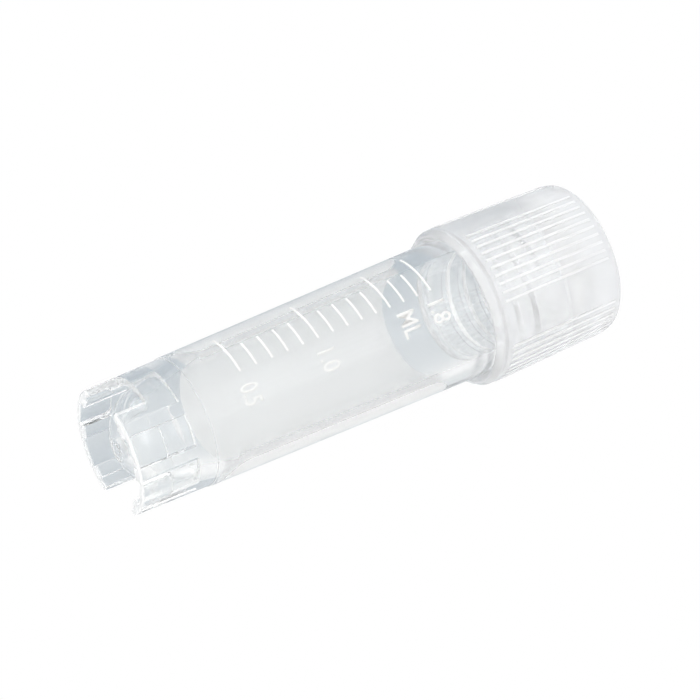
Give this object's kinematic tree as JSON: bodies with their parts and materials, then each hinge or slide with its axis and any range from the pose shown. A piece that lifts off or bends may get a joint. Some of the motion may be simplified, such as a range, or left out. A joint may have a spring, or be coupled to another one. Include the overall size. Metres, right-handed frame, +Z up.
{
  "type": "cryogenic storage vial",
  "caption": "Clear self-standing screw-cap storage vial with a star foot, graduated tube, threaded neck, sealing ring and ribbed cap that screws off.",
  "frame": {"origin": "centre of the foot's standing plane, on the vial's axis", "axes": "+Z up along the vial's axis towards the cap; -Y is the side the graduations are read from, +X to its right"},
  "size_m": [0.0146, 0.0146, 0.048],
  "materials": {
    "vial_plastic": "clear natural polypropylene, glossy",
    "cap_plastic": "natural polypropylene, slightly milky",
    "seal_silicone": "translucent silicone, matt"
  },
  "bodies": {
    "vial": {"vial": "vial_plastic"},
    "seal": {"sealing_ring": "seal_silicone"},
    "cap": {"cap": "cap_plastic"}
  },
  "joints": [
    {"name": "cap_lift", "type": "slide", "parent": "vial", "child": "seal", "axis": [0, 0, 1], "range_m": [0, 0.014]},
    {"name": "cap_turn", "type": "hinge", "parent": "seal", "child": "cap", "pos_m": [0, 0, 0.0344], "axis": [0, 0, 1], "range_deg": [0, 2880]}
  ],
  "couplings": [
    {"joint": "cap_turn", "follows": "cap_lift", "rad_per_m": 3590.4}
  ]
}
